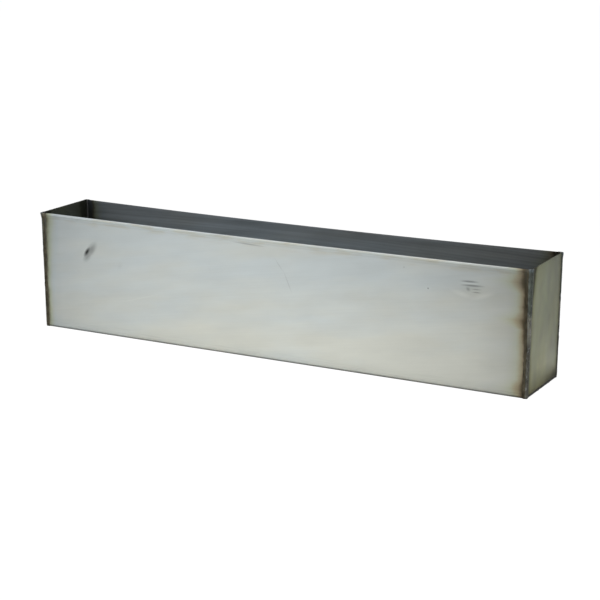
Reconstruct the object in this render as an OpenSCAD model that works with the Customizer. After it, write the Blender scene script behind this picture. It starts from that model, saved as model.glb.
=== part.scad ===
// Open-topped sheet-steel feed trough: one folded channel closed by two end plates,
// seam-welded at the outside corners.
// Millimetres. +X runs along the trough, -Y is the front, +Z is up.
// The origin is the middle of the underside, on the surface the trough stands on.

/* [Trough] */
// Outside length of the trough, end plate to end plate
trough_length = 688.8; // [300:0.1:1200]
// Outside width of the trough, front wall to back wall
trough_width = 104.6; // [60:0.1:300]
// Outside height of the trough, underside to rim
trough_height = 155.7; // [60:0.1:300]

/* [Sheet] */
// Thickness of the steel sheet
sheet_t = 1.5; // [1:0.1:3]
// Outside radius of the two long folds along the floor
fold_radius = 3; // [3:0.1:8]

/* [Welds] */
// Radius of the rounded bead up each corner
bead_radius = 4.2; // [3.5:0.1:6]
// How far a corner bead stands proud of the sheet it joins
bead_proud = 0.6; // [0.5:0.1:1.5]
// Radius of the smaller bead along the bottom of each end plate
bottom_bead_radius = 2.5; // [2.2:0.1:3.5]
// How far a bottom bead stands proud of the end plate
bottom_bead_proud = 0.5; // [0.2:0.1:1]

/* [Hidden] */

// Length of the folded channel: the end plates close it at both ends
channel_length = trough_length - 2 * sheet_t;
// Depth of a corner bead's axis inside the two outer faces that meet there
bead_depth = bead_radius - bead_proud;
// Distance of a corner bead's axis from the middle plane, along X and along Y
bead_x = trough_length / 2 - bead_depth;
bead_y = trough_width / 2 - bead_depth;
// Depth of a bottom bead's axis inside the end plate's face, and its height
bottom_bead_depth = bottom_bead_radius - bottom_bead_proud;
// Overrun of a cutting body past what it cuts
cut_over = 10;
// Segments of a full circle
arc_fn = 64;

steel = "#9DA3A2";
steel_end = "#8B8F82";
weld_metal = "#5B5F5A";

// Upright U outline, closed at the top: its lower corners are round, its base is at y = 0
module u_outline(width, height, radius) {
    translate([-width / 2, radius]) square([width, height - radius]);
    translate([radius - width / 2, 0]) square([width - 2 * radius, height]);
    for (side = [-1, 1])
        translate([side * (width / 2 - radius), radius]) circle(r = radius, $fn = arc_fn);
}

// Prism with the U outline across the trough, centred on the origin along X
module u_prism(length, width, height, radius) {
    translate([-length / 2, 0, 0])
        rotate([90, 0, 90])
            linear_extrude(height = length) u_outline(width, height, radius);
}

// The trough's outside shape, swollen by a margin at the sides and below
module outer_body(length, margin, over_top) {
    translate([0, 0, -margin])
        u_prism(length, trough_width + 2 * margin,
                trough_height + margin + over_top, fold_radius + margin);
}

// The hollow between the front wall, the floor and the back wall
module inner_body(length, over_top) {
    translate([0, 0, sheet_t])
        u_prism(length, trough_width - 2 * sheet_t,
                trough_height - sheet_t + over_top, fold_radius - sheet_t);
}

// Front wall, floor and back wall, folded from one sheet
module trough_channel() {
    color(steel)
        difference() {
            outer_body(channel_length, 0, 0);
            inner_body(trough_length, cut_over);
        }
}

// Flat end plate, corner to corner with the channel's end; side is -1 left, 1 right
module end_plate(side) {
    color(steel_end)
        translate([side * (trough_length - sheet_t) / 2, 0, 0]) inner_body(sheet_t, 0);
}

// Everything the welds must stay out of: the channel, the plates and the hollow
module weld_keepout() {
    outer_body(channel_length, 0, cut_over);
    inner_body(trough_length, cut_over);
}

// Round bar where a vertical corner bead is laid
module upright_bar(side_x, side_y, over) {
    translate([side_x * bead_x, side_y * bead_y, -over])
        cylinder(r = bead_radius, h = trough_height + 2 * over, $fn = arc_fn);
}

// Bead that fills and caps the open corner between a wall and an end plate
module upright_weld(side_x, side_y) {
    color(weld_metal)
        difference() {
            intersection() {
                upright_bar(side_x, side_y, 0);
                outer_body(trough_length + 2 * cut_over, bead_proud, 0);
            }
            weld_keepout();
        }
}

// Bead that fills and caps the open corner between the floor and an end plate,
// dressed flush underneath; it ends where the two upright beads begin
module bottom_weld(side_x) {
    color(weld_metal)
        difference() {
            intersection() {
                translate([side_x * (trough_length / 2 - bottom_bead_depth), 0, bottom_bead_depth])
                    rotate([90, 0, 0])
                        cylinder(r = bottom_bead_radius, h = 2 * bead_y, center = true, $fn = arc_fn);
                translate([0, 0, trough_height / 2])
                    cube([trough_length + 2 * cut_over, trough_width, trough_height], center = true);
            }
            weld_keepout();
            for (side_y = [-1, 1]) upright_bar(side_x, side_y, cut_over);
        }
}

trough_channel();
end_plate(-1);  // left_end_plate
end_plate(1);  // right_end_plate
upright_weld(-1, -1);  // front_left_weld
upright_weld(1, -1);  // front_right_weld
upright_weld(-1, 1);  // back_left_weld
upright_weld(1, 1);  // back_right_weld
bottom_weld(-1);  // left_bottom_weld
bottom_weld(1);  // right_bottom_weld
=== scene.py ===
"""Looks of the welded sheet-steel feed trough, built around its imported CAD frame. Metres, +Z up."""

import math

import bmesh
import bpy
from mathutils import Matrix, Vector, noise


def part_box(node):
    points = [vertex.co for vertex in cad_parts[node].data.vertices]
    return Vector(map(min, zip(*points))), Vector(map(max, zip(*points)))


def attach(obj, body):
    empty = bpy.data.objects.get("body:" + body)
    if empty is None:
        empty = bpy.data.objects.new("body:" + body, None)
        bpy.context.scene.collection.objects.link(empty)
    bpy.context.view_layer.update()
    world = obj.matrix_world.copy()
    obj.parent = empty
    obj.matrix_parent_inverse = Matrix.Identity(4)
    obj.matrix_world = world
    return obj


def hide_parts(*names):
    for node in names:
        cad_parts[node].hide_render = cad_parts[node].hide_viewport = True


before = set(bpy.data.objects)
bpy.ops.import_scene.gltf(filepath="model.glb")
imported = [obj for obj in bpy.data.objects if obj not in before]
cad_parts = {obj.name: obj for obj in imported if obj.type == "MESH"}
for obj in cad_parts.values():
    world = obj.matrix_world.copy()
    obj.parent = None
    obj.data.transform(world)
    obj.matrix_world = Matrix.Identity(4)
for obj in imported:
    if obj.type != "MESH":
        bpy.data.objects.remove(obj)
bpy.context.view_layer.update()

MM = 0.001

# ---------------------------------------------------------------- sizes read from the frame
_, channel_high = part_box("trough_channel")
plate_low, plate_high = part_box("right_end_plate")
bead_low, bead_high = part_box("front_right_weld")
_, foot_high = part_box("right_bottom_weld")
HALF_LENGTH = plate_high.x
HALF_WIDTH = channel_high.y
HEIGHT = channel_high.z
SHEET = plate_high.x - plate_low.x
FOLD_RADIUS = 2 * SHEET                                        # outside radius of the long folds
CORNER_PROUD = bead_high.x - HALF_LENGTH                       # a corner bead stands out this far
CORNER_DEPTH = (bead_high.x - bead_low.x) / 2 - CORNER_PROUD   # ... and its axis is this far inside
FOOT_PROUD = foot_high.x - HALF_LENGTH                         # the same for a bottom bead
FOOT_DEPTH = 4 * FOOT_PROUD

# ---------------------------------------------------------------- shape of the hand-made sheet
FRONT_BOW = 3.0 * MM         # the front wall springs outwards at mid-length
BACK_BOW = 9.6 * MM          # the back wall springs inwards at mid-length
BOW_CURVE = 1.3              # ... and both bow mostly high up
RIM_SAG = 0.6 * MM           # both rims are a little lower at mid-length
SAG_CURVE = 4                # ... and the sag fades quickly below them
END_LEAN = 1.9 * MM          # both ends lean outwards at the rim
WAVE = 0.35 * MM             # gentle waves in the flat sheet
WAVE_SPAN = Vector((110, 60, 60)) * MM
WAVE_ENDS = 6                # how quickly the waves fade out at the ends ...
WAVE_FOLDS = 4               # ... and at the folds
WALL_WAVES = 3.7             # place in the noise of the walls' waves and the end plates'
PLATE_WAVES = 5.3
ROLL_DROP = 2.2 * MM         # a wall's sheared rim is rolled over on its outer side: height ...
ROLL_IN = 1.1 * MM           # ... and depth of the rolled part
EDGE_RADIUS = 0.2 * MM       # the other sheared corners
PLATE_BULGE = 0.5 * MM       # how far an end plate is drawn in, at most about this
PLATE_FLAT = 3               # ... from one part in so many of its height; less below, none at the floor
SHEET_CREASE = 50            # edges of the sheet are sharp above this many degrees ...
BEAD_CREASE = 60             # ... and those of the beads above this

# Dents in the front wall, in mm and degrees: place along and up, slant, half length, half width, depth
DENTS = [
    (-268.0, 111.5, 54, 9.5, 4.2, 0.45),     # the big dent
    (-272.6, 109.6, 58, 5.2, 2.0, 0.40),     # ... and its sharper bottom
    (217.4, 118.8, 0, 2.0, 2.0, 0.12),       # under the speck
    (275.0, 123.0, 5, 16.0, 8.0, 0.20),      # under the scraped patch
]

# ---------------------------------------------------------------- spacing of the meshes
LENGTH_STEP = 5 * MM         # along the channel
WALL_STEP = 4 * MM           # up its walls
DENT_STEP = 0.9 * MM         # both, where there are dents
DENT_PLACES = [(-286 * MM, -252 * MM), (212 * MM, 222 * MM), (250 * MM, 300 * MM)]
DENT_HEIGHTS = [(94 * MM, 138 * MM)]
PLATE_STEP = 3 * MM          # up an end plate
RING_STEP = 0.3 * MM         # along a bead
FLOOR_STRIPS = 20            # across the floor, an end plate, a bead, a fold and a rounded edge
PLATE_STRIPS = 36
BEAD_STRIPS = 22
FOLD_STRIPS = 8
EDGE_STRIPS = 5

# ---------------------------------------------------------------- shape of the welds
RIPPLE_PITCH = 2.1 * MM      # distance between the ripples that the weld pool left
RIPPLE_HEIGHT = 0.16 * MM
RIPPLE_MIDDLE = 0.6          # the share of that height which lies below the bead's surface
RIPPLE_TRAIL = 0.75          # how far a crescent's tips lie past its middle, in ripples
RIPPLE_DRIFT = 0.35          # uneven spacing, in ripples, over this distance
DRIFT_SPAN = 12 * MM
SWELL = 0.25                 # uneven height of a bead, per proud height, over this distance
SWELL_SPAN = 9 * MM
STOP_LUMP = (0.35, 0.0, 2.6 * MM)         # at a stop: height per proud height, place past the stop ...
STOP_CRATER = (-0.45, 5 * MM, 1.8 * MM)   # ... and half length, of its lump and of its crater
BURIED = 0.08 * MM           # the bead sinks this far into the sheet that it joins
ROOT = -SHEET - BURIED       # where the root of a bead lies, measured outwards from both faces
STOPS = {                    # where each weld was stopped and started again: height, or place along Y
    "front_right_weld": (42 * MM, 90 * MM),
    "front_left_weld": (58 * MM, 104 * MM),
    "back_right_weld": (50 * MM, 98 * MM),
    "back_left_weld": (38 * MM, 86 * MM),
    "right_bottom_weld": (-12 * MM, 24 * MM),
    "left_bottom_weld": (-20 * MM, 15 * MM),
}
CROWN = {                    # extra height of the lump where a bead ends at the rim, per proud height
    "front_right_weld": 0.3,
    "front_left_weld": 2.4,
    "back_right_weld": 1.2,
    "back_left_weld": 0.3,
}
CROWN_LENGTH = 9 * MM
TOP_RINGS = (0.6 * MM, 0.25 * MM, 0.0)   # depths of an upright bead's last rings below the rim
TOP_ROUND = 0.8 * MM         # it is rounded off over this length at its top ...
TOP_LOSS = 0.55              # ... by this share of what stands proud
FOOT_ROUND = 4 * MM          # the same at its foot
FOOT_LOSS = 0.9
TOE_START = 0.75             # from here to 1 across its section, an upright bead meets the wall
TUCK_FROM = 3 * MM           # it is tucked in over the fold from this depth inside the wall's face ...
TUCK_SPAN = 2.5 * MM         # ... and fully this much further out


def smooth(t):
    """0 below 0, 1 above 1 and a smooth step in between."""
    t = min(1.0, max(0.0, t))
    return t * t * (3 - 2 * t)


def spread(start, stop, steps):
    """Evenly spaced numbers from start to stop, both included."""
    return [start + (stop - start) * i / steps for i in range(steps + 1)]


def graded(start, stop, coarse, fine, zones):
    """Numbers from start up to stop, fine apart inside the zones and coarse apart elsewhere."""
    found = [start]
    while found[-1] < stop:
        near = any(low <= found[-1] <= high for low, high in zones)
        found.append(min(stop, found[-1] + (fine if near else coarse)))
    return found


QUARTER = spread(0, math.pi / 2, EDGE_STRIPS)


def dent_depth(x, z):
    """How far the front wall is pushed in at (x, z)."""
    total = 0.0
    for at_x, at_z, slant, half_long, half_wide, depth in DENTS:
        dx, dz = x / MM - at_x, z / MM - at_z
        turn = math.radians(slant)
        along = (dx * math.cos(turn) + dz * math.sin(turn)) / half_long
        across = (dz * math.cos(turn) - dx * math.sin(turn)) / half_wide
        total += depth * MM * math.exp(-(along**2) - across**2)
    return total


def out_of_true(x, y, z):
    """Where the point (x, y, z) of a true trough lies in the hand-made one."""
    run = max(0.0, 1 - (x / HALF_LENGTH) ** 2)
    rise = min(1.0, max(0.0, (z - FOLD_RADIUS) / (HEIGHT - FOLD_RADIUS)))
    bow = -(FRONT_BOW if y < 0 else BACK_BOW) * run * rise**BOW_CURVE
    place = Vector((x / WAVE_SPAN.x, math.copysign(WALL_WAVES, y), z / WAVE_SPAN.z))
    wave = WAVE * noise.noise(place) * smooth(run * WAVE_ENDS) * smooth(rise * WAVE_FOLDS)
    dent = dent_depth(x, z) if y < 0 else 0
    lean = END_LEAN * x / HALF_LENGTH * z / HEIGHT
    return x + lean, y + bow + wave + dent, z - RIM_SAG * run * rise**SAG_CURVE


def mesh_piece(name, points, faces, sharp_deg, node):
    """A smooth-shaded piece with sharp edges above sharp_deg, in place of a CAD node."""
    mesh = bpy.data.meshes.new(name)
    mesh.from_pydata([out_of_true(*point) for point in points], [], faces)
    shell = bmesh.new()
    shell.from_mesh(mesh)
    bmesh.ops.recalc_face_normals(shell, faces=shell.faces)
    shell.to_mesh(mesh)
    shell.free()
    mesh.shade_smooth()
    mesh.set_sharp_from_angle(angle=math.radians(sharp_deg))
    piece = bpy.data.objects.new(name, mesh)
    bpy.context.scene.collection.objects.link(piece)
    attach(piece, "root")
    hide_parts(node)
    return piece


def skin(count, size):
    """Quads that join count closed rings of size points, each to the next."""
    return [
        (r * size + i, r * size + (i + 1) % size, (r + 1) * size + (i + 1) % size, (r + 1) * size + i)
        for r in range(count - 1)
        for i in range(size)
    ]


# ---------------------------------------------------------------- the folded channel
def rim_arc(side):
    """Points over a wall's rim, from its outer face to its inner face, as (y, z)."""
    outer = side * HALF_WIDTH
    inner = side * (HALF_WIDTH - SHEET)
    rolled = [
        (outer - side * ROLL_IN * (1 - math.cos(a)), HEIGHT - ROLL_DROP * (1 - math.sin(a)))
        for a in QUARTER
    ]
    cut = [
        (inner + side * EDGE_RADIUS * (1 - math.sin(a)), HEIGHT - EDGE_RADIUS * (1 - math.cos(a)))
        for a in QUARTER
    ]
    return rolled + cut


def fold_arc(side, radius):
    """Points of one long fold at that radius, from the wall to the floor, as (y, z)."""
    y, z = side * (HALF_WIDTH - FOLD_RADIUS), FOLD_RADIUS
    return [
        (y + side * radius * math.cos(a), z - radius * math.sin(a))
        for a in spread(0, math.pi / 2, FOLD_STRIPS)
    ]


def channel_loop():
    """The channel's cross-section: outer points, inner points, front rim and back rim, as (y, z)."""
    front_levels = graded(FOLD_RADIUS, HEIGHT - ROLL_DROP, WALL_STEP, DENT_STEP, DENT_HEIGHTS)[1:-1]
    back_levels = graded(FOLD_RADIUS, HEIGHT - ROLL_DROP, WALL_STEP, WALL_STEP, [])[1:-1]
    flat = spread(-(HALF_WIDTH - FOLD_RADIUS), HALF_WIDTH - FOLD_RADIUS, FLOOR_STRIPS)[1:-1]

    def path(inset):
        front = [(-(HALF_WIDTH - inset), z) for z in reversed(front_levels)]
        back = [(HALF_WIDTH - inset, z) for z in back_levels]
        radius = FOLD_RADIUS - inset
        floor = [(y, inset) for y in flat]
        return front + fold_arc(-1, radius) + floor + fold_arc(1, radius)[::-1] + back

    return path(0), path(SHEET), rim_arc(-1), rim_arc(1)


def build_channel():
    """Front wall, floor and back wall: one sheet, swept along the trough."""
    outer, inner, front_rim, back_rim = channel_loop()
    loop = outer + back_rim + inner[::-1] + front_rim[::-1]
    half = HALF_LENGTH - SHEET
    stations = graded(-half, half, LENGTH_STEP, DENT_STEP, DENT_PLACES)
    points = [(x, y, z) for x in stations for y, z in loop]
    faces = skin(len(stations), len(loop))
    count, n_out, n_rim = len(loop), len(outer), len(front_rim)
    for start in (0, (len(stations) - 1) * count):
        out = [start + i for i in range(n_out)]
        into = [start + n_out + n_rim + n_out - 1 - i for i in range(n_out)]
        faces += [(out[i], out[i + 1], into[i + 1], into[i]) for i in range(n_out - 1)]
        faces.append([out[-1], *range(start + n_out, start + n_out + n_rim), into[-1]])
        faces.append([into[0], *range(start + count - n_rim, start + count), out[0]])
    return mesh_piece("channel", points, faces, SHEET_CREASE, "trough_channel")


# ---------------------------------------------------------------- the end plates
def plate_shift(y, z, side):
    """How far an end plate's sheet stands out of true at (y, z)."""
    free = 1 - (y / HALF_WIDTH) ** 2
    place = Vector((side * PLATE_WAVES, y / WAVE_SPAN.y, z / WAVE_SPAN.z))
    return PLATE_BULGE * (noise.noise(place) - 0.5) * free * smooth(z / HEIGHT * PLATE_FLAT)


def build_plate(side, name, node):
    """A plate inside the channel's outline, with round lower corners and a sheared rim."""
    corner = FOLD_RADIUS - SHEET
    rows = [(SHEET + corner * (1 - math.cos(a)), 0) for a in QUARTER]
    levels = graded(SHEET + corner, HEIGHT - EDGE_RADIUS, PLATE_STEP, PLATE_STEP, [])[1:-1]
    rows += [(z, 0) for z in levels]
    rows += [(HEIGHT - EDGE_RADIUS * (1 - math.sin(a)), EDGE_RADIUS * (1 - math.cos(a))) for a in QUARTER]
    across = spread(-1, 1, PLATE_STRIPS)
    points = []
    for z, inset in rows:
        dip = max(0.0, corner - (z - SHEET))
        half = HALF_WIDTH - SHEET - corner + math.sqrt(max(0.0, corner**2 - dip**2))
        for depth, order in ((-inset, across), (inset - SHEET, across[::-1])):
            points += [
                (side * (HALF_LENGTH + depth + plate_shift(v * half, z, side)), v * half, z)
                for v in order
            ]
    size, n = 2 * len(across), len(across)
    faces = skin(len(rows), size)
    for start in (0, (len(rows) - 1) * size):
        faces += [
            (start + i, start + i + 1, start + size - 2 - i, start + size - 1 - i)
            for i in range(n - 1)
        ]
    return mesh_piece(name, points, faces, SHEET_CREASE, node)


# ---------------------------------------------------------------- the weld beads
def bead_swell(along, node, seed):
    """Factor on a bead's height at a distance along it: uneven, with a lump and a crater at each
    stop and a crown at the rim."""
    swell = 1 + SWELL * noise.noise(Vector((along / SWELL_SPAN, seed, 0)))
    for stop in STOPS[node]:
        for height, past, half_length in (STOP_LUMP, STOP_CRATER):
            swell += height * math.exp(-(((along - stop - past) / half_length) ** 2))
    return swell + CROWN.get(node, 0) * smooth(1 - (HEIGHT - along) / CROWN_LENGTH)


def ripple(along, turn, seed):
    """Height of the crescent ripples; turn is -1 to 1 across the bead."""
    drift = RIPPLE_DRIFT * noise.noise(Vector((along / DRIFT_SPAN, seed, 7.0)))
    phase = along / RIPPLE_PITCH - RIPPLE_TRAIL * turn**2 + drift
    fade = (1 - 0.5 * turn**2) * smooth((1 - abs(turn)) * 6)
    return RIPPLE_HEIGHT * (abs(math.sin(math.pi * phase)) - RIPPLE_MIDDLE) * fade


def bead_section(along, node, seed, depth, proud, dressed):
    """The bead's outside as (turn, a, b): distances outside the two faces that meet at its corner.
    It runs from its toe on the first face round to its toe on the second, or, where the second
    face is dressed flush, to that face's plane."""
    radius = depth + proud * bead_swell(along, node, seed)
    reach = math.acos(depth / radius)
    last = math.pi / 2 - reach if dressed else math.pi / 2 + reach
    found = []
    for turn in spread(-1, 1, BEAD_STRIPS):
        angle = -reach + (last + reach) * (turn + 1) / 2
        r = radius + ripple(along, turn, seed) * min(1.0, proud / CORNER_PROUD)
        found.append((turn, r * math.cos(angle) - depth, r * math.sin(angle) - depth))
    found[0] = (-1, -BURIED, found[0][2])
    found[-1] = (1, found[-1][1], 0 if dressed else -BURIED)
    return found


def build_bead(name, rings, node):
    """A closed solid through the rings."""
    size = len(rings[0])
    points = [p for ring in rings for p in ring]
    faces = skin(len(rings), size)
    faces.append(list(range(size)))
    faces.append(list(range(len(points) - size, len(points))))
    return mesh_piece(name, points, faces, BEAD_CREASE, node)


def build_upright_bead(node, side_x, side_y, seed):
    """The bead up a corner: a is measured out of the end plate's face and b out of the wall's face.
    At the bottom it follows the fold's round corner, and both its ends are rounded off."""
    rings = []
    even_top, *last = [HEIGHT - depth for depth in TOP_RINGS]
    swollen = FOLD_RADIUS + CORNER_PROUD
    for z in spread(0, even_top, round(even_top / RING_STEP)) + last:
        dip = max(0.0, FOLD_RADIUS - z)
        wall_in = FOLD_RADIUS - math.sqrt(FOLD_RADIUS**2 - dip**2)
        wall_out = swollen - math.sqrt(swollen**2 - dip**2)
        keep = 1 - TOP_LOSS * smooth((z - HEIGHT + TOP_ROUND) / TOP_ROUND)
        keep -= FOOT_LOSS * smooth(1 - z / FOOT_ROUND)
        ring = []
        for turn, a, b in bead_section(z, node, seed, CORNER_DEPTH, CORNER_PROUD, False):
            tuck = wall_out + (wall_in - wall_out) * smooth((turn - TOE_START) / (1 - TOE_START))
            b_in = b - tuck * smooth((b + TUCK_FROM) / TUCK_SPAN)
            ring.append((a * keep if a > 0 else a, b_in * keep if b_in > 0 else b_in))
        ring += [(ROOT, -BURIED - wall_in), (ROOT, min(ROOT, -2 * BURIED - wall_in)), (-BURIED, ROOT)]
        rings.append([(side_x * (HALF_LENGTH + a), side_y * (HALF_WIDTH + b), z) for a, b in ring])
    return build_bead(node.replace("_weld", "_bead"), rings, node)


def build_bottom_bead(node, side_x, seed):
    """The bead along the bottom of an end plate, between the two upright beads, dressed flush below."""
    rings = []
    reach = HALF_WIDTH - CORNER_DEPTH
    for y in spread(-reach, reach, round(2 * reach / RING_STEP)):
        ring = [(a, c) for _, a, c in bead_section(y, node, seed, FOOT_DEPTH, FOOT_PROUD, True)]
        ring += [(ROOT, 0), (ROOT, ROOT), (-BURIED, ROOT)]
        rings.append([(side_x * (HALF_LENGTH + a), y, max(0.0, -c)) for a, c in ring])
    return build_bead(node.replace("_weld", "_bead"), rings, node)


channel = build_channel()
right_plate = build_plate(1, "right_plate", "right_end_plate")
left_plate = build_plate(-1, "left_plate", "left_end_plate")
beads = [
    build_upright_bead("front_right_weld", 1, -1, 1.5),
    build_upright_bead("front_left_weld", -1, -1, 2.5),
    build_upright_bead("back_right_weld", 1, 1, 3.5),
    build_upright_bead("back_left_weld", -1, 1, 4.5),
    build_bottom_bead("right_bottom_weld", 1, 5.5),
    build_bottom_bead("left_bottom_weld", -1, 6.5),
]


# ---------------------------------------------------------------- materials
WALL_STEEL = (0.558, 0.566, 0.550, 1)
# The end plates' steel is olive, and darker than the walls' partly as painted shade for the dimmer
# surroundings that its faces mirror
END_STEEL = (0.42, 0.425, 0.31, 1)
WALL_GLOSS = (0.32, 0.40)             # lowest and highest roughness
END_GLOSS = (0.34, 0.42)

# Noise patterns: spans in mm, detail and seed
CLOUDS = ((120, 80, 30), 3.0, 1.5)
MOTTLE = ((80, 60, 20), 3.0, 4.0)
STREAKS = ((120, 120, 1.5), 5.0, 9.0)
LEVEL_STREAKS = ((220, 220, 2.5), 4.0, 11.0)
SEAM_WANDER = ((8, 8, 12), 3.0, 2.0)
PLATE_WANDER = ((10, 10, 10), 3.0, 2.0)
RIM_STAINS = ((30, 30, 5), 3.0, 6.0)
DIE_MARKS = ((50, 50, 0.8), 4.0, 7.0)
PATCHES = ((30, 22, 60), 3.0, 3.0)
GREY_PATCHES = ((30, 24, 30), 2.0, 8.0)
BLOTCHES = ((4, 4, 9), 3.0, 0.0)
GLINTS = ((2.0, 2.0, 5.0), 2.0, 5.0)

# A fade below is two readings and the result at each. Lengths in the materials are millimetres.
# The thin film of oil and oxide on the sheet, from cool (0) to warm (1)
COOL_FILM = (0.93, 1.0, 1.03, 1)
WARM_FILM = (0.995, 1.0, 0.93, 1)
FILM_LEVEL = 0.45                     # how warm it is at mid-length, before its change with height
FILM_RUN = 1300.0                     # it warms by 1 over this length
FILM_RISE = (15, 130, 0.40, -0.34)    # its change with height
FILM_CLOUDS = (-0.42, 0.42)
MOTTLE_SHADE = (0.94, 1.05)
STREAK_SHADE = (0.975, 1.02)
STREAK_SLANT = 9                      # degrees that a wall's streaks climb to the right

WANDER = (-1.0, 1.0)                  # unevenness of the edges of heat tint
FACING = (-0.2, 0.2, 1, 0)            # from faces that look into the trough (1) to the others (0)

# Gloss and relief of sheet
TINT_DULLS = (0.2, 0.9, 0.10, 0.0)    # extra roughness by the heat tint
INSIDE_DULLS = 0.22                   # extra roughness on the inside
MOTTLE_GLOSS = (-0.03, 0.03)
RELIEF_STRENGTH = 0.25
RELIEF_DEPTH = 0.05 * MM

# Heat tint on a wall beside its right and its left seam: millimetres beyond the dark burnt strip,
# and what the tint multiplies the sheet's colour by
RIGHT_TINTS = [
    (0.0, (0.15, 0.13, 0.09)),
    (1.2, (0.20, 0.16, 0.11)),
    (2.3, (0.32, 0.26, 0.18)),
    (3.4, (0.52, 0.42, 0.32)),
    (4.6, (0.69, 0.58, 0.42)),
    (6.0, (0.79, 0.70, 0.53)),
    (7.5, (0.86, 0.80, 0.63)),
    (9.6, (0.93, 0.92, 0.77)),
    (13.0, (0.98, 0.99, 0.90)),
    (18.0, (1.0, 1.0, 0.97)),
    (25.0, (1.0, 1.0, 1.0)),
]
LEFT_TINTS = [
    (0.0, (0.16, 0.16, 0.14)),
    (1.2, (0.30, 0.26, 0.19)),
    (2.5, (0.60, 0.58, 0.43)),
    (4.0, (0.81, 0.82, 0.65)),
    (6.0, (0.91, 0.92, 0.79)),
    (8.0, (0.95, 0.95, 0.92)),
    (11.0, (0.96, 0.98, 0.99)),
    (15.0, (1.0, 1.0, 1.0)),
]
# How far the burnt strip beside a seam reaches from the corner, in millimetres, at heights
RIGHT_STRIP = [(0, 3.7), (8, 3.8), (14, 4.5), (30, 2.7), (48, 2.1), (65, 3.4), (83, 5.2), (91, 5.2),
               (98, 2.9), (110, 6.8), (125, 5.4), (137, 5.6), (146, 6.3), (153, 8.0)]
LEFT_STRIP = [(0, 5.2), (60, 5.0), (96, 5.3), (128, 5.8), (146, 6.0), (154, 5.8)]
STRIP_INSIDE = (-1, 1, 4.0, 1.0)      # how much further it reaches inside, at the left and the right
# Where the heat soaked in further: how many times wider the pale tint beyond the strip is, at heights
RIGHT_FLARES = [(0, 1.1), (10, 1.6), (23, 1.0), (65, 1.0), (83, 0.7), (94, 2.1), (104, 1.1), (112, 0.8),
                (126, 0.9), (139, 2.2), (149, 1.2), (156, 1.3)]
LEFT_FLARES = [(0, 1.1), (60, 1.0), (96, 1.3), (128, 1.7), (146, 1.9), (156, 1.7)]
RIM_FLUSH = (1.6, 1.65, 1.9, 1)       # a factor on the strip close to the rim ...
FLUSH_RISE = (138, 152, 0, 1)         # ... by height
FLUSH_WIDTH = (0, 2.5, 1, 0)          # ... and by distance beyond the strip

# Painted shade of a wall along its length, darker towards both ends where less light falls: millimetres
# from its left and from its right end
LEFT_END_PAINTED_SHADE = [(0, 0.76), (15, 0.84), (30, 0.90), (65, 0.95), (150, 1.0)]
RIGHT_END_PAINTED_SHADE = [(0, 0.60), (15, 0.70), (30, 0.79), (65, 0.90), (150, 0.98), (300, 1.0)]
# The inside of the walls has a bluish oxide film, and painted shade for the light that falls brightest
# near mid-length: its shade at distances from the left end ...
INNER_FILM = (0.96, 0.965, 1.03, 1)
INNER_PAINTED_SHADE = [(0, 0.98), (145, 1.02), (330, 1.05), (440, 0.90), (500, 0.90), (560, 0.86), (690, 0.68)]
# ... a shade at depths below the rim, darker just below it, and how much its streaks vary it
INNER_RIM_SHADE = [(0, 0.76), (8, 0.84), (13, 0.96), (20, 1.02), (60, 1.0)]
LEVEL_STREAK_SHADE = (0.84, 1.14)
INNER_CORNER_LINE = (0.30, 0.30, 0.30, 1)    # a lighter line in the inner corner, by distance from the end
INNER_CORNER_GAP = (3.0, 4.2, 1, 0)
# Painted highlight on a wall's rolled rim and painted shadow lines below it, at depths below its rim;
# painted shade along the fold, at heights above the table
RIM_HIGHLIGHT_AND_SHADOW_LINES = [(0, 1.6), (2.0, 1.58), (3.0, 1.0), (3.6, 0.94), (4.6, 0.99), (6.4, 0.91), (8, 1.0)]
FOLD_PAINTED_SHADE = [(0, 0.38), (1.4, 0.42), (2.6, 0.66), (3.6, 1.0), (8, 1.0)]
STAIN = (0.95, 0.90, 0.82, 1)         # brownish stains in a zone below the rim
STAIN_ZONE = (6, 13, 1, 0)
STAIN_EDGE = (0.47, 0.62, 0, 1)
OUTER_BAND = (4, 2, 0, 1)             # the outer faces, by distance inside the trough's width
DIE_SHADE = 0.86                      # dark lines that the folding die left low on the outer faces
DIE_ZONE = (8, 14, 1, 0)
DIE_EDGE = (0.52, 0.64, 0, 1)
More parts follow.
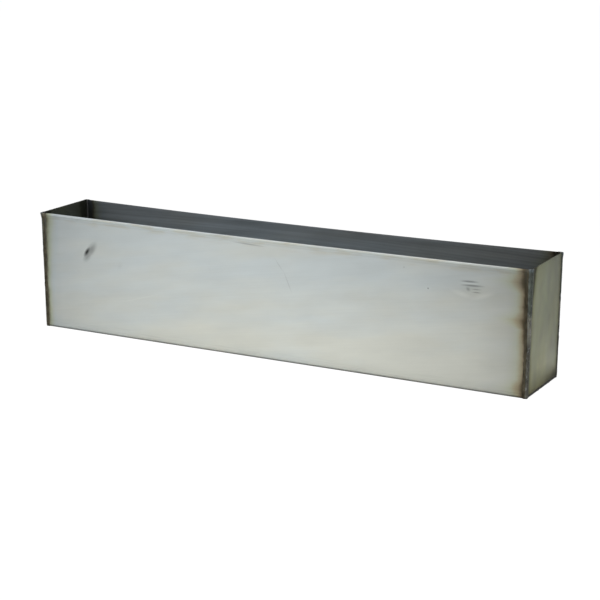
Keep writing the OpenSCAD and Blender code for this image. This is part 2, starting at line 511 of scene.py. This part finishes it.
# Marks on the front wall, in mm: place along and up, half length, half width, slant in degrees,
# soft part, and what the mark multiplies the sheet's colour by
MARKS = [
    (-273.2, 110.0, 9.0, 3.5, 54, 0.75, 0.12),    # darker bottom of the big dent: a scuff, and painted shade in its hollow
    (-266.0, 114.5, 14.5, 7.2, 48, 0.85, 0.60),   # ... and painted shade on its shoulders
    (-273.5, 102.0, 8.5, 5.0, 40, 0.85, 0.70),
    (273.0, 127.0, 18.0, 9.0, 0, 0.9, 0.94),      # scraped patch with short scratches in it
    (270.0, 133.3, 13.0, 1.7, 2, 0.7, 0.56),
    (270.0, 131.0, 14.0, 1.2, 2, 0.7, 1.16),
    (274.0, 128.7, 17.0, 1.7, 2, 0.7, 0.56),
    (268.4, 124.0, 3.8, 3.0, -40, 0.8, 0.68),
    (278.7, 124.6, 7.5, 1.0, 2, 0.7, 0.68),
    (279.0, 121.0, 7.0, 1.0, 2, 0.7, 0.62),
    (260.0, 117.5, 17.0, 4.0, -14, 0.9, 1.12),    # ... and its pale lower lip
    (288.0, 118.0, 19.0, 4.2, 20, 0.9, 1.15),
    (217.4, 118.8, 4.0, 3.2, 0, 0.8, 1.05),       # speck with a pale ring
    (217.4, 119.0, 1.6, 1.4, 0, 0.6, 0.55),
    (186.0, 141.4, 1.3, 1.1, 0, 0.6, 0.74),       # small speck
    (16.5, 125.0, 12.0, 1.1, -53, 0.8, 0.87),     # long hairline, slightly curved
    (28.5, 104.5, 17.0, 1.1, -67, 0.8, 0.85),
    (-193.0, 56.5, 40.0, 1.3, 17, 0.8, 1.05),     # faint pale scratch
    (-221.0, 97.0, 8.0, 4.5, 60, 0.9, 0.94),      # faint blot
    (-27.0, 147.0, 28.0, 1.3, -2, 0.8, 0.64),     # stroke under the rim
]
MARK_REACH = 40                       # a mark is an ellipsoid that reaches this far through the wall
FRONT_HALF = (-40, -30, 1, 0)         # ... but is kept to the front of the trough

# The film of an end plate is patchy, and goes from olive at the front to grey at the back
PATCH_SHADE = (0.90, 1.08)
OLIVE_FILM = (1.03, 1.04, 0.96, 1)
GREY_FILM = (0.86, 0.85, 0.92, 1)
GREY_BACK = (-10, 15, 0.1, 0.6)
GREY_PATCH_DEPTH = (-0.5, 0.5)
# Painted shade of an end plate at heights, for the uneven light that it mirrors, and painted shade on its
# darker low back part
END_PAINTED_SHADE = [(0, 1.0), (12, 0.95), (20, 1.10), (29, 1.15), (45, 0.87), (65, 0.82), (83, 0.84), (98, 0.93),
             (112, 1.0), (137, 1.08), (156, 1.05)]
LOW_BACK_PAINTED_SHADE = 0.84
LOW_BACK_ACROSS = (5, 35, 0, 1)
LOW_BACK_RISE = (30, 75, 1, 0)
# Heat tint on an end plate: millimetres from its side and from its bottom
SIDE_TINTS = [
    (0.0, (0.20, 0.20, 0.17)),
    (5.0, (0.22, 0.22, 0.18)),
    (7.0, (0.45, 0.45, 0.38)),
    (9.5, (0.80, 0.79, 0.70)),
    (14.0, (0.96, 0.96, 0.92)),
    (20.0, (1.0, 1.0, 1.0)),
]
BOTTOM_TINTS = [
    (0.0, (0.14, 0.14, 0.12)),
    (2.0, (0.36, 0.35, 0.31)),
    (5.0, (0.66, 0.63, 0.56)),
    (9.0, (0.90, 0.87, 0.80)),
    (13.0, (1.0, 0.98, 0.94)),
    (18.0, (1.0, 1.0, 1.0)),
]
# The side tint reaches further near the rim at the front: a factor at heights, on these millimetres
SOAK = [(0, 0.0), (115, 0.0), (128, 0.5), (140, 1.0), (148, 1.2), (156, 1.9)]
SOAK_ACROSS = (-20, -35, 0, 5)
SIDE_INSIDE = 9.0                     # how much further it reaches inside
# The bottom tint reaches further towards the back
LOBE_ACROSS = (5, 40, 0, 5.5)
LOBE_RISE = (2, 8, 0, 1)
TINT_LOST_INSIDE = 0.22               # the share of both tints that is missing inside
PLATE_INSIDE_PAINTED_SHADE = (0.36, 0.36, 0.38, 1)  # painted shade: a factor that darkens the inner face, for the shade inside the trough
# The cut edge along the top of an end plate is darkened: fully at the left and a little at the right
TOP_EDGE_DARKENING = 0.25
EDGE_RISE = (1.6, 0.3, 0, 1)
EDGE_UPWARD = (0.2, 0.6, 0, 1)
EDGE_SIDE = (-1, 1, 1, 0.15)

BEAD_LOW = (0.128, 0.126, 0.106, 1)   # colours of the weld metal: beside the end plate, low ...
BEAD_HIGH = (0.117, 0.131, 0.113, 1)  # ... and high up ...
BEAD_TOE = (0.066, 0.058, 0.039, 1)   # ... and beside the wall, where it is burnt
BEAD_CHANGE = (96, 102, 0, 1)         # the height where the first gives way to the second
BEAD_LEAN = (60, 140, 0, 2)           # how far the burnt part draws back to the wall, at heights
TOE_EDGE = (1.2, 2.8, 0, 1)
# How bright an upright bead's face is at heights above the table: uneven tone, with painted glints where
# it catches the light
BEAD_TONE_AND_PAINTED_GLINTS = [(0, 1.3), (10, 0.9), (28, 0.95), (44, 1.05), (62, 0.65), (72, 1.6), (96, 2.2), (101, 0.9),
               (110, 1.1), (124, 1.35), (136, 1.5), (148, 0.9), (156, 0.9)]
BLOTCH_SHADE = (0.6, 1.4)
BLOTCH_GLOSS = (0.46, 0.26)           # roughness of dark and of bright blotches
GLINT_METAL = (0.25, 0.26, 0.25, 1)
GLINT_EDGE = (0.56, 0.66, 0, 1)
CROWN_PAINTED_HIGHLIGHT = (1.7, 1.8, 2.1, 1)      # painted highlight: a factor that lightens the top of a bead, by depth below the rim
CROWN_RISE = (5, 1, 0, 1)
BOTTOM_BEAD_SHADE = 0.45              # a bottom bead is darker: by distance inside the trough's width
BOTTOM_BEAD_ACROSS = (4, 7, 0, 1)


def grey(value):
    return (value, value, value, 1)


class Graph:
    """Adds linked nodes to one new material. A value is a number, a tuple or another node's socket.
    Lengths in the nodes are millimetres."""

    def __init__(self, name):
        self.material = bpy.data.materials.new(name)
        self.material.use_nodes = True
        self.tree = self.material.node_tree
        self.shader = self.tree.nodes["Principled BSDF"]

    def put(self, socket, value):
        if isinstance(value, bpy.types.NodeSocket):
            self.tree.links.new(value, socket)
        else:
            socket.default_value = value

    def node(self, kind, *values, **settings):
        made = self.tree.nodes.new(kind)
        for key, value in settings.items():
            setattr(made, key, value)
        for socket, value in zip(made.inputs, values):
            self.put(socket, value)
        return made

    def coords(self):
        """Place in millimetres, its three parts, and the three parts of the surface normal."""
        source = self.node("ShaderNodeTexCoord").outputs
        place = self.scaled(source["Object"], (1000, 1000, 1000))
        parts = self.node("ShaderNodeSeparateXYZ", place).outputs
        normal = self.node("ShaderNodeSeparateXYZ", source["Normal"]).outputs
        return place, tuple(parts), tuple(normal)

    def math(self, operation, *values, clamp=False):
        return self.node("ShaderNodeMath", *values, operation=operation, use_clamp=clamp).outputs[0]

    def add(self, *values):
        total = values[0]
        for value in values[1:]:
            total = self.math("ADD", total, value)
        return total

    def scaled(self, vector, factors):
        return self.node("ShaderNodeVectorMath", vector, factors, operation="MULTIPLY").outputs[0]

    def slanted(self, vector, degrees):
        """The vector turned so that its X runs along a line that climbs to the right by that much."""
        made = self.node("ShaderNodeVectorRotate", vector, rotation_type="Y_AXIS")
        self.put(made.inputs["Angle"], math.radians(degrees))
        return made.outputs[0]

    def noise(self, vector, spans, detail, seed):
        """Noise, mostly from 0.3 to 0.7, whose features are about the spans across."""
        made = self.node("ShaderNodeTexNoise", noise_dimensions="4D")
        self.put(made.inputs["Vector"], self.scaled(vector, tuple(1 / s for s in spans)))
        self.put(made.inputs["W"], seed)
        self.put(made.inputs["Scale"], 1.0)
        self.put(made.inputs["Detail"], detail)
        return made.outputs["Fac"]

    def remap(self, value, low, high, to_low, to_high):
        return self.node("ShaderNodeMapRange", value, low, high, to_low, to_high, clamp=True).outputs[0]

    def vary(self, value, to_low, to_high):
        """Noise stretched from its usual range to a new one."""
        return self.remap(value, 0.3, 0.7, to_low, to_high)

    def ramp(self, value, stops):
        """Colour along value, from stops of (value, colour), the first of which is at 0."""
        made = self.node("ShaderNodeValToRGB")
        end = stops[-1][0]
        self.put(made.inputs[0], self.math("DIVIDE", value, end))
        elements = made.color_ramp.elements
        while len(elements) < len(stops):
            elements.new(1.0)
        for element, (at, colour) in zip(elements, stops):
            element.position = at / end
            element.color = (*colour, 1) if isinstance(colour, tuple) else grey(colour)
        return made.outputs["Color"]

    def mix(self, factor, a, b, blend="MIX"):
        made = self.node("ShaderNodeMix", data_type="RGBA", blend_type=blend)
        self.put(made.inputs[0], factor)
        self.put(made.inputs[6], a)
        self.put(made.inputs[7], b)
        return made.outputs[2]

    def times(self, a, b):
        return self.mix(1.0, a, b, "MULTIPLY")

    def dye(self, mask, colour, factor):
        """The colour multiplied by the factor where the mask is 1, and left alone where it is 0."""
        return self.mix(mask, colour, self.times(colour, factor))

    def fade(self, mask, factor):
        """1 where the mask is 0, and the factor where it is 1."""
        return self.math("MULTIPLY_ADD", mask, factor - 1, 1.0)

    def spot(self, place, x, z, half_long, half_wide, slant, edge):
        """1 in an ellipse on the front wall, falling to 0 over the outer part of it called edge."""
        made = self.node("ShaderNodeMapping", place, vector_type="TEXTURE")
        self.put(made.inputs["Location"], (x, -HALF_WIDTH / MM, z))
        self.put(made.inputs["Rotation"], (0, -math.radians(slant), 0))
        self.put(made.inputs["Scale"], (half_long, MARK_REACH, half_wide))
        reach = self.node("ShaderNodeVectorMath", made.outputs[0], operation="LENGTH").outputs["Value"]
        return self.remap(reach, 1 - edge, 1, 1, 0)


def sheet_film(g, flow, x, z, base):
    """Colour of plain sheet: a cool to warm film, soft mottling and fine streaks; then the streaks
    and the mottling alone. The X of flow runs along the streaks and its Z across them."""
    clouds = g.vary(g.noise(flow, *CLOUDS), *FILM_CLOUDS)
    drift = g.add(FILM_LEVEL, g.math("DIVIDE", x, FILM_RUN), g.remap(z, *FILM_RISE))
    warm = g.math("ADD", drift, clouds, clamp=True)
    colour = g.times(base, g.mix(warm, COOL_FILM, WARM_FILM))
    mottle = g.noise(flow, *MOTTLE)
    colour = g.times(colour, g.vary(mottle, *MOTTLE_SHADE))
    streaks = g.noise(flow, *STREAKS)
    colour = g.times(colour, g.vary(streaks, *STREAK_SHADE))
    return colour, streaks, mottle


def inner_side(g, across, normal_across, normal_up):
    """1 on faces that look into the trough and 0 on the others."""
    outward = g.math("MULTIPLY", normal_across, g.math("SIGN", across))
    return g.remap(g.math("SUBTRACT", outward, normal_up), *FACING)


def end_gap(g, x, z):
    """Millimetres from the nearer end of the trough, which leans outwards."""
    half = g.math("MULTIPLY_ADD", z, END_LEAN / HEIGHT, HALF_LENGTH / MM)
    return g.math("SUBTRACT", half, g.math("ABSOLUTE", x))


def side_gap(g, y):
    """Millimetres inside the nearer of the two planes that the walls' outer faces lie in."""
    return g.math("SUBTRACT", HALF_WIDTH / MM, g.math("ABSOLUTE", y))


def finish_sheet(g, colour, streaks, mottle, gloss, tint, inner):
    """Colour, gloss and fine relief of bare sheet. It is duller where the heat tint is dark, and on
    the inside."""
    g.put(g.shader.inputs["Base Color"], colour)
    g.shader.inputs["Metallic"].default_value = 1.0
    dull = g.remap(tint, *TINT_DULLS)
    unwiped = g.math("MULTIPLY", inner, INSIDE_DULLS)
    rough = g.add(g.vary(streaks, *gloss), g.vary(mottle, *MOTTLE_GLOSS), dull, unwiped)
    g.put(g.shader.inputs["Roughness"], rough)
    bump = g.node("ShaderNodeBump")
    g.put(bump.inputs["Strength"], RELIEF_STRENGTH)
    g.put(bump.inputs["Distance"], RELIEF_DEPTH)
    g.put(bump.inputs["Height"], streaks)
    g.put(g.shader.inputs["Normal"], bump.outputs[0])


def heat_wall(g, colour, place, x, z, gap, inner):
    """A wall's colour with painted shade that falls off towards the ends and the heat tint of its seams;
    then the tint.
    """
    right = g.math("GREATER_THAN", x, 0.0)
    # painted shade: the wall darkens towards both ends, where less light falls
    colour = g.times(colour, g.mix(right, g.ramp(gap, LEFT_END_PAINTED_SHADE), g.ramp(gap, RIGHT_END_PAINTED_SHADE)))
    flare = g.mix(right, g.ramp(z, LEFT_FLARES), g.ramp(z, RIGHT_FLARES))
    wander = g.vary(g.noise(place, *SEAM_WANDER), *WANDER)
    strip = g.mix(right, g.ramp(z, LEFT_STRIP), g.ramp(z, RIGHT_STRIP))
    reach = g.add(strip, wander, g.math("MULTIPLY", inner, g.remap(x, *STRIP_INSIDE)))
    beyond = g.math("MAXIMUM", g.math("SUBTRACT", gap, reach), 0.0)
    burnt = g.math("DIVIDE", beyond, flare)
    tint = g.mix(right, g.ramp(burnt, LEFT_TINTS), g.ramp(burnt, RIGHT_TINTS))
    colour = g.times(colour, tint)
    flushed = g.math("MULTIPLY", g.remap(z, *FLUSH_RISE), g.remap(beyond, *FLUSH_WIDTH))
    return g.times(colour, g.mix(flushed, grey(1.0), RIM_FLUSH)), tint


def film_inside(g, colour, unrolled, x, below_rim, gap, inner):
    """The colour with the streaked oxide film, its painted shade along the length and the lighter corner
    line of a wall's inner face.
    """
    # painted shade along the inner face, brightest near mid-length where the light falls
    shade = g.ramp(g.math("ADD", x, HALF_LENGTH / MM), INNER_PAINTED_SHADE)
    shade = g.times(shade, g.vary(g.noise(unrolled, *LEVEL_STREAKS), *LEVEL_STREAK_SHADE))
    shade = g.times(shade, g.ramp(below_rim, INNER_RIM_SHADE))
    colour = g.mix(inner, colour, g.times(g.times(colour, INNER_FILM), shade))
    corner_line = g.math("MULTIPLY", g.remap(gap, *INNER_CORNER_GAP), inner)
    return g.mix(corner_line, colour, INNER_CORNER_LINE)


def line_outside(g, colour, place, y, z, below_rim, outer):
    """The colour with the painted rim highlight and shadow lines, stains, painted shade at the fold and
    die marks of a wall's outer face.
    """
    # painted highlight on the rolled rim and painted shadow lines just below it
    colour = g.dye(outer, colour, g.ramp(below_rim, RIM_HIGHLIGHT_AND_SHADOW_LINES))
    near_rim = g.math("MULTIPLY", g.remap(below_rim, *STAIN_ZONE), outer)
    stain = g.remap(g.noise(place, *RIM_STAINS), *STAIN_EDGE)
    colour = g.dye(g.math("MULTIPLY", near_rim, stain), colour, STAIN)
    at_face = g.math("MULTIPLY", g.remap(side_gap(g, y), *OUTER_BAND), outer)
    # painted shade along the bottom fold
    colour = g.dye(at_face, colour, g.ramp(z, FOLD_PAINTED_SHADE))
    die_marks = g.remap(g.noise(place, *DIE_MARKS), *DIE_EDGE)
    die_zone = g.math("MULTIPLY", g.remap(z, *DIE_ZONE), at_face)
    return g.times(colour, g.fade(g.math("MULTIPLY", die_marks, die_zone), DIE_SHADE))


def mark_front(g, colour, place, y, outer):
    """The colour with the marks on the front wall."""
    front = g.math("MULTIPLY", g.remap(y, *FRONT_HALF), outer)
    shade = 1.0
    for *shape, factor in MARKS:
        shade = g.math("MULTIPLY", shade, g.fade(g.spot(place, *shape), factor))
    return g.dye(front, colour, shade)


def wall_material():
    """Steel of the folded channel. Its streaks run on round the folds."""
    g = Graph("wall_steel")
    place, (x, y, z), (_, ny, nz) = g.coords()
    round_fold = g.add(z, y, HALF_WIDTH / MM)
    unrolled = g.node("ShaderNodeCombineXYZ", x, y, round_fold).outputs[0]
    flow = g.slanted(unrolled, STREAK_SLANT)
    colour, streaks, mottle = sheet_film(g, flow, x, z, WALL_STEEL)
    inner = inner_side(g, y, ny, nz)
    outer = g.math("SUBTRACT", 1.0, inner)
    gap = end_gap(g, x, z)
    below_rim = g.math("SUBTRACT", HEIGHT / MM, z)
    colour, tint = heat_wall(g, colour, place, x, z, gap, inner)
    colour = film_inside(g, colour, unrolled, x, below_rim, gap, inner)
    colour = line_outside(g, colour, place, y, z, below_rim, outer)
    colour = mark_front(g, colour, place, y, outer)
    finish_sheet(g, colour, streaks, mottle, WALL_GLOSS, tint, inner)
    return g.material


def plate_tint(g, place, y, z, inner):
    """Heat tint of an end plate, from its two sides and its bottom."""
    wander = g.vary(g.noise(place, *PLATE_WANDER), *WANDER)
    soak = g.math("MULTIPLY", g.ramp(z, SOAK), g.remap(y, *SOAK_ACROSS))
    side_reach = g.add(soak, wander, g.math("MULTIPLY", inner, SIDE_INSIDE))
    side_tint = g.ramp(g.math("SUBTRACT", side_gap(g, y), side_reach), SIDE_TINTS)
    lobe = g.math("MULTIPLY", g.remap(y, *LOBE_ACROSS), g.remap(z, *LOBE_RISE))
    bottom_tint = g.ramp(g.math("SUBTRACT", z, g.add(lobe, wander)), BOTTOM_TINTS)
    lost = g.math("MULTIPLY", inner, TINT_LOST_INSIDE)
    return g.mix(lost, g.times(side_tint, bottom_tint), grey(1.0))


def end_material():
    """Steel of the end plates. Its streaks run up and down."""
    g = Graph("end_steel")
    place, (x, y, z), (nx, _, nz) = g.coords()
    upright = g.node("ShaderNodeCombineXYZ", z, x, y).outputs[0]
    colour, streaks, mottle = sheet_film(g, upright, x, z, END_STEEL)
    inner = inner_side(g, x, nx, nz)
    colour = g.times(colour, g.vary(g.noise(place, *PATCHES), *PATCH_SHADE))
    grey_patches = g.vary(g.noise(place, *GREY_PATCHES), *GREY_PATCH_DEPTH)
    greyer = g.math("ADD", g.remap(y, *GREY_BACK), grey_patches, clamp=True)
    colour = g.times(colour, g.mix(greyer, OLIVE_FILM, GREY_FILM))
    # painted shade by height, for the uneven light that the end face mirrors
    colour = g.times(colour, g.ramp(z, END_PAINTED_SHADE))
    # painted shade on the low back part
    low_back = g.math("MULTIPLY", g.remap(y, *LOW_BACK_ACROSS), g.remap(z, *LOW_BACK_RISE))
    colour = g.times(colour, g.fade(low_back, LOW_BACK_PAINTED_SHADE))
    tint = plate_tint(g, place, y, z, inner)
    colour = g.times(colour, tint)
    # painted shade on the inner face of an end plate
    colour = g.dye(inner, colour, PLATE_INSIDE_PAINTED_SHADE)
    below_rim = g.math("SUBTRACT", HEIGHT / MM, z)
    rim_edge = g.math("MULTIPLY", g.remap(below_rim, *EDGE_RISE), g.remap(nz, *EDGE_UPWARD))
    darkened_top_edge = g.math("MULTIPLY", rim_edge, g.remap(x, *EDGE_SIDE))
    colour = g.times(colour, g.fade(darkened_top_edge, TOP_EDGE_DARKENING))
    finish_sheet(g, colour, streaks, mottle, END_GLOSS, tint, inner)
    return g.material


def weld_material():
    """Metal of the weld beads, burnt on the wall's side."""
    g = Graph("weld_metal")
    place, (x, y, z), _ = g.coords()
    from_wall = side_gap(g, y)
    past_middle = g.math("SUBTRACT", end_gap(g, x, z), from_wall)
    toe = g.remap(g.math("SUBTRACT", past_middle, g.remap(z, *BEAD_LEAN)), *TOE_EDGE)
    blotch = g.noise(place, *BLOTCHES)
    glint = g.remap(g.noise(place, *GLINTS), *GLINT_EDGE)
    metal = g.mix(g.remap(z, *BEAD_CHANGE), BEAD_LOW, BEAD_HIGH)
    # uneven tone of the bead's face, with painted glints by height
    face = g.times(g.times(metal, g.vary(blotch, *BLOTCH_SHADE)), g.ramp(z, BEAD_TONE_AND_PAINTED_GLINTS))
    face = g.mix(glint, face, GLINT_METAL)
    colour = g.mix(toe, face, g.times(BEAD_TOE, g.vary(blotch, *BLOTCH_SHADE)))
    # painted highlight on the top of a bead, close to the rim
    crown = g.remap(g.math("SUBTRACT", HEIGHT / MM, z), *CROWN_RISE)
    colour = g.dye(crown, colour, CROWN_PAINTED_HIGHLIGHT)
    colour = g.times(colour, g.fade(g.remap(from_wall, *BOTTOM_BEAD_ACROSS), BOTTOM_BEAD_SHADE))
    g.put(g.shader.inputs["Base Color"], colour)
    g.shader.inputs["Metallic"].default_value = 1.0
    g.put(g.shader.inputs["Roughness"], g.vary(blotch, *BLOTCH_GLOSS))
    return g.material


channel.data.materials.append(wall_material())
end_steel = end_material()
for plate in (right_plate, left_plate):
    plate.data.materials.append(end_steel)
weld_metal = weld_material()
for bead in beads:
    bead.data.materials.append(weld_metal)


# ---------------------------------------------------------------- floor, light and camera
FLOOR_HALF = 12.0
FLOOR_WHITE = 0.8            # how the white table reflects light onto the trough
FLOOR_GLOW = 0.97            # the camera sees this brightness of it, overexposed to white ...
FLOOR_FAINT = 0.12           # ... and this much of the light that falls on it
FLOOR_GAP = 0.2 * MM         # it lies just below the trough, so that their faces stay apart


def build_floor():
    """A plain white table top, overexposed to white where it is seen directly."""
    mesh = bpy.data.meshes.new("floor")
    r = FLOOR_HALF
    mesh.from_pydata([(-r, -r, 0), (r, -r, 0), (r, r, 0), (-r, r, 0)], [], [(0, 1, 2, 3)])
    floor = bpy.data.objects.new("floor", mesh)
    bpy.context.scene.collection.objects.link(floor)
    floor.location.z = -FLOOR_GAP
    g = Graph("floor_white")
    lit = g.node("ShaderNodeBsdfDiffuse", grey(FLOOR_WHITE)).outputs[0]
    faint = g.node("ShaderNodeBsdfDiffuse", grey(FLOOR_FAINT)).outputs[0]
    glow = g.node("ShaderNodeEmission", grey(1.0), FLOOR_GLOW).outputs[0]
    seen = g.node("ShaderNodeAddShader", faint, glow).outputs[0]
    direct = g.node("ShaderNodeLightPath").outputs["Is Camera Ray"]
    surface = g.node("ShaderNodeMixShader", direct, lit, seen).outputs[0]
    g.put(g.tree.nodes["Material Output"].inputs["Surface"], surface)
    g.tree.nodes.remove(g.shader)
    mesh.materials.append(g.material)


# Brightness of the room towards its ceiling, its back wall and its front wall: the axis, two
# places along it from -1 to 1, and the brightness at each
CEILING = (2, 0.30, 0.85, 0.12, 1.40)
BACK_WALL = (1, 0.30, 0.90, 0.0, 0.50)
FRONT_WALL = (1, -0.30, -0.75, 0.0, 0.6)
TABLE_SHARE = 0.25           # the share of the room's light that falls on the table


def build_world():
    """A dim room with a bright ceiling and walls, and white where it is seen directly. The front
    wall shows only in the metal, and the room adds little light to the table."""
    world = bpy.data.worlds.new("studio")
    world.use_nodes = True
    bpy.context.scene.world = world
    tree = world.node_tree
    rays = tree.nodes.new("ShaderNodeLightPath").outputs
    parts = tree.nodes.new("ShaderNodeSeparateXYZ")
    tree.links.new(tree.nodes.new("ShaderNodeTexCoord").outputs["Generated"], parts.inputs[0])

    def fade(axis, *values):
        made = tree.nodes.new("ShaderNodeMapRange")
        tree.links.new(parts.outputs[axis], made.inputs[0])
        for socket, value in zip(list(made.inputs)[1:5], values):
            socket.default_value = value
        return made.outputs[0]

    def join(operation, a, b):
        made = tree.nodes.new("ShaderNodeMath")
        made.operation = operation
        tree.links.new(a, made.inputs[0])
        tree.links.new(b, made.inputs[1])
        return made.outputs[0]

    front = join("MULTIPLY", fade(*FRONT_WALL), rays["Is Glossy Ray"])
    level = join("MAXIMUM", join("MAXIMUM", fade(*CEILING), fade(*BACK_WALL)), front)
    dimmed = tree.nodes.new("ShaderNodeMath")
    dimmed.operation = "MULTIPLY_ADD"
    tree.links.new(rays["Is Diffuse Ray"], dimmed.inputs[0])
    dimmed.inputs[1].default_value = TABLE_SHARE - 1
    dimmed.inputs[2].default_value = 1.0
    level = join("MULTIPLY", level, dimmed.outputs[0])
    room = tree.nodes["Background"]
    room.inputs["Color"].default_value = grey(1.0)
    tree.links.new(level, room.inputs["Strength"])
    seen = tree.nodes.new("ShaderNodeBackground")
    seen.inputs["Color"].default_value = grey(1.0)
    mix = tree.nodes.new("ShaderNodeMixShader")
    tree.links.new(rays["Is Camera Ray"], mix.inputs[0])
    tree.links.new(room.outputs[0], mix.inputs[1])
    tree.links.new(seen.outputs[0], mix.inputs[2])
    tree.links.new(mix.outputs[0], tree.nodes["World Output"].inputs["Surface"])


# Soft boxes over the table around the trough: name, place, size and power. The metal mirrors the
# table that they light, and not the boxes.
POOL_LIGHTS = [
    ("near_pool", (0.0, -0.12, 0.65), 0.3, 4.5),
    ("far_pool", (-0.5, -0.7, 0.45), 0.3, 2.9),
    ("end_pool", (0.40, -0.02, 0.30), 0.15, 0.2),
]


def build_pool_light(name, place, size, power):
    """A square soft box that shines straight down."""
    data = bpy.data.lights.new(name, "AREA")
    data.size = size
    data.energy = power
    lamp = bpy.data.objects.new(name, data)
    bpy.context.scene.collection.objects.link(lamp)
    lamp.location = place
    lamp.visible_camera = False
    lamp.visible_glossy = False


CAMERA_AZIMUTH = math.radians(28.285)
CAMERA_ELEVATION = math.radians(14.44)
CAMERA_DISTANCE = 2196.1 * MM
CAMERA_LENS = 103.519
AIM_RIGHT = 14.65 * MM
AIM_DOWN = 11.40 * MM


def build_camera():
    """The camera looks down on the trough from the right of its front."""
    a, e = CAMERA_AZIMUTH, CAMERA_ELEVATION
    back = Vector((math.sin(a) * math.cos(e), -math.cos(a) * math.cos(e), math.sin(e)))
    right = Vector((math.cos(a), math.sin(a), 0))
    up = back.cross(right)
    aim = Vector((0, 0, HEIGHT / 2)) + right * AIM_RIGHT - up * AIM_DOWN
    data = bpy.data.cameras.new("camera")
    data.lens = CAMERA_LENS
    data.sensor_width = 36.0
    data.clip_end = 100.0
    camera = bpy.data.objects.new("camera", data)
    bpy.context.scene.collection.objects.link(camera)
    camera.location = aim + back * CAMERA_DISTANCE
    camera.rotation_mode = "QUATERNION"
    camera.rotation_quaternion = (-back).to_track_quat("-Z", "Y")
    bpy.context.scene.camera = camera


build_floor()
build_world()
for pool in POOL_LIGHTS:
    build_pool_light(*pool)
build_camera()
bpy.context.scene.view_settings.view_transform = "Standard"
